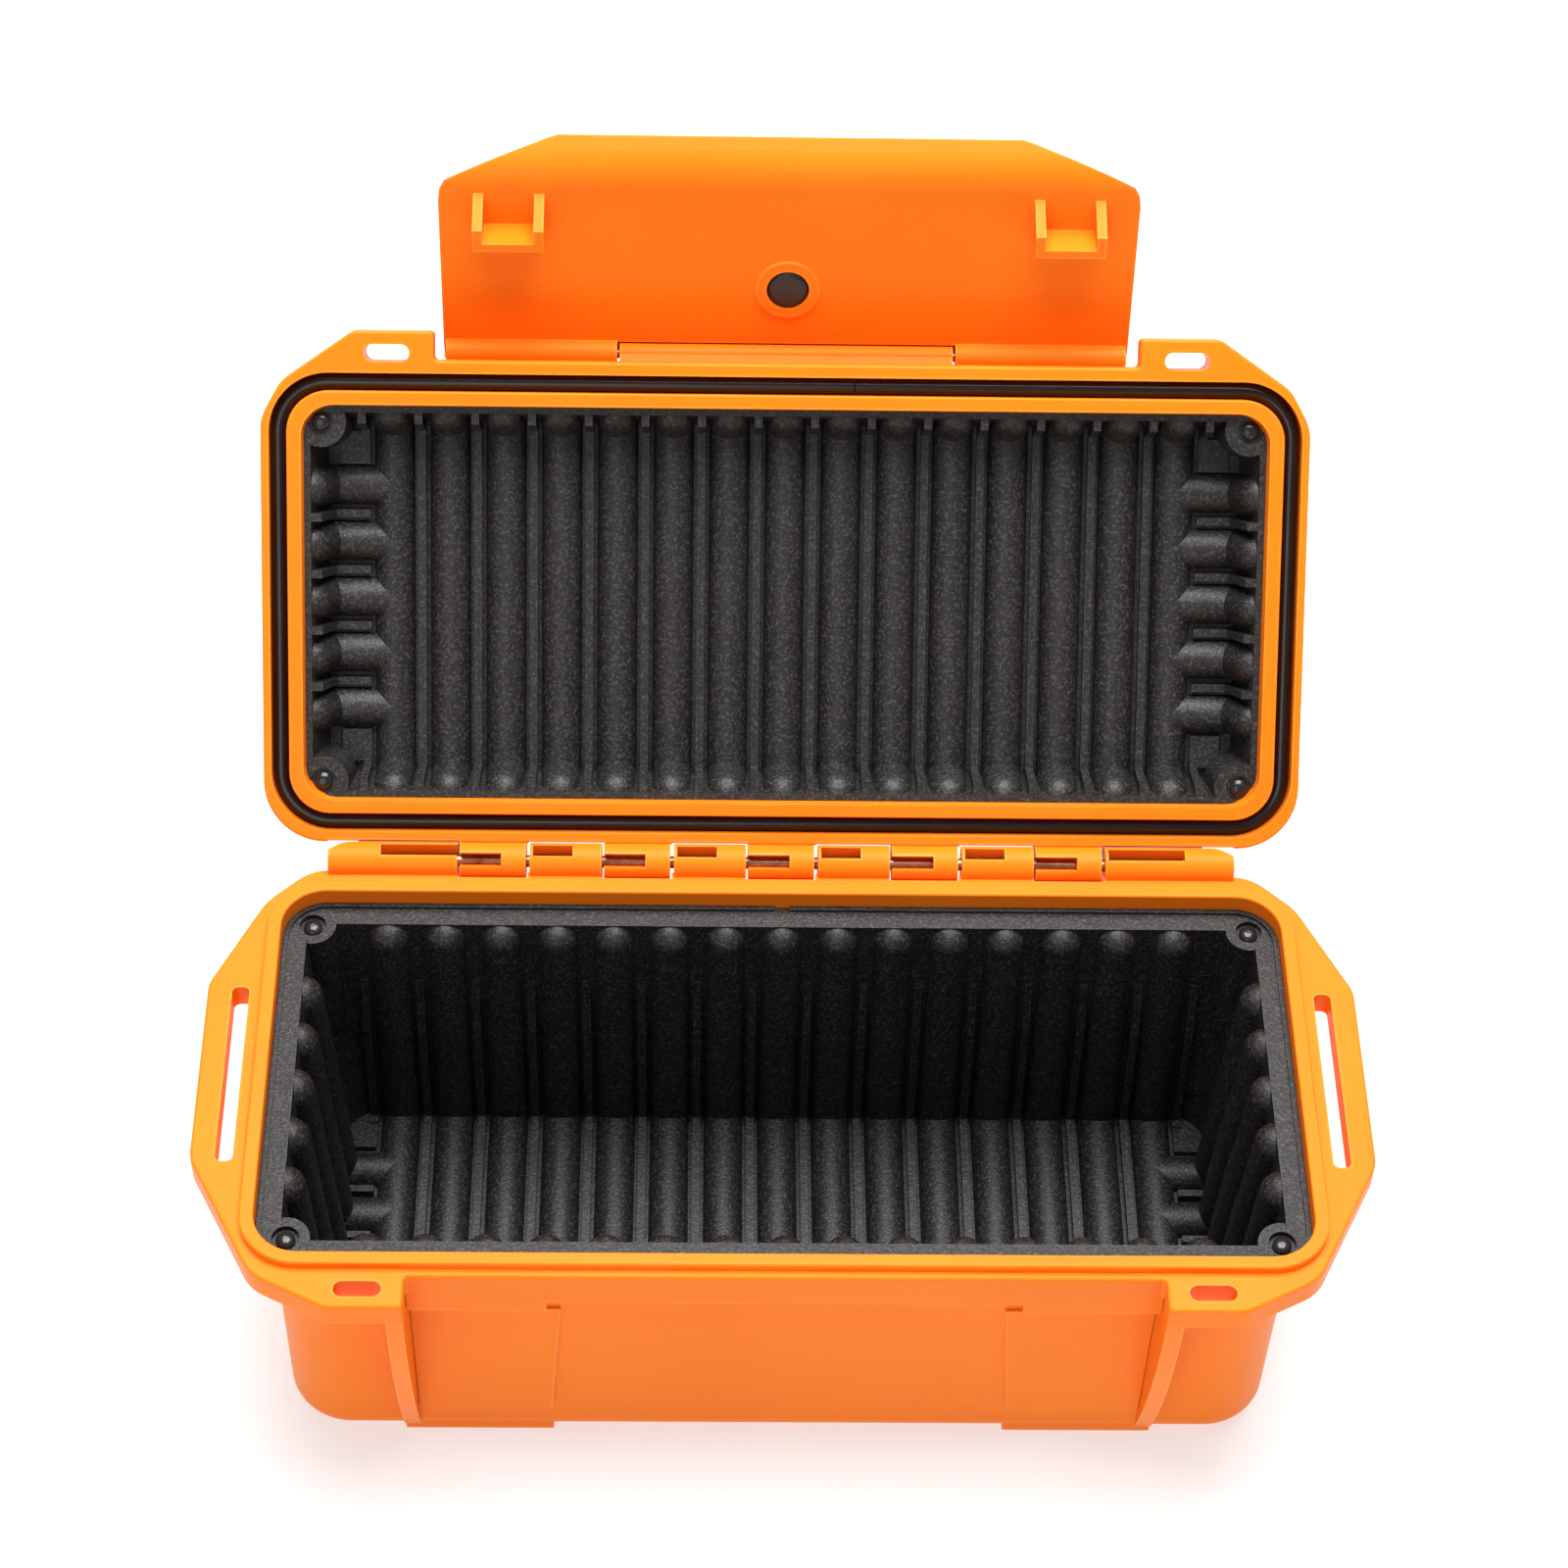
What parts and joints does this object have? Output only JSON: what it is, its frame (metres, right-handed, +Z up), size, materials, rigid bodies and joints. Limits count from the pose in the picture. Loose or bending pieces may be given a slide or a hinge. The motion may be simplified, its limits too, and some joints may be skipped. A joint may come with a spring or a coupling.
{
  "type": "first aid kit",
  "caption": "Hinged waterproof dry box for a first aid kit: ribbed rubber liners, cord seal, knuckle hinge, full-width front latch, strap-slot handles, shown open and empty.",
  "frame": {"origin": "middle of the underside pad, in the plane that the four feet stand on", "axes": "+X along the hinge, to the right seen from the latch side; +Y from the latch side to the hinge side; +Z up"},
  "size_m": [0.2206, 0.1935, 0.1755],
  "materials": {
    "orange_shell": "satin moulded plastic, fine texture",
    "liner_rubber": "matte, fine grain",
    "seal_rubber": "smooth, semi-gloss",
    "steel_pin": "drawn",
    "rivet_black": "gloss"
  },
  "bodies": {
    "base": {"base_shell": "orange_shell", "base_liner": "liner_rubber", "base_rivet_back_right": "rivet_black", "base_rivet_back_left": "rivet_black", "base_rivet_front_right": "rivet_black", "base_rivet_front_left": "rivet_black", "lid_hinge_pin": "steel_pin"},
    "lid": {"lid_shell": "orange_shell", "lid_liner": "liner_rubber", "lid_rivet_back_right": "rivet_black", "lid_rivet_back_left": "rivet_black", "lid_rivet_front_right": "rivet_black", "lid_rivet_front_left": "rivet_black", "lid_seal": "seal_rubber", "latch_pin_left": "steel_pin", "latch_pin_right": "steel_pin"},
    "latch": {"latch_flap": "orange_shell", "latch_plug": "seal_rubber"}
  },
  "joints": [
    {"name": "lid_hinge", "type": "hinge", "parent": "base", "child": "lid", "pos_m": [0, 0.0507, 0.0652], "axis": [1, 0, 0], "range_deg": [0, 130.25]},
    {"name": "latch_hinge", "type": "hinge", "parent": "lid", "child": "latch", "pos_m": [0, 0.12664, 0.13076], "axis": [1, 0, 0], "range_deg": [0, 59.6]}
  ]
}
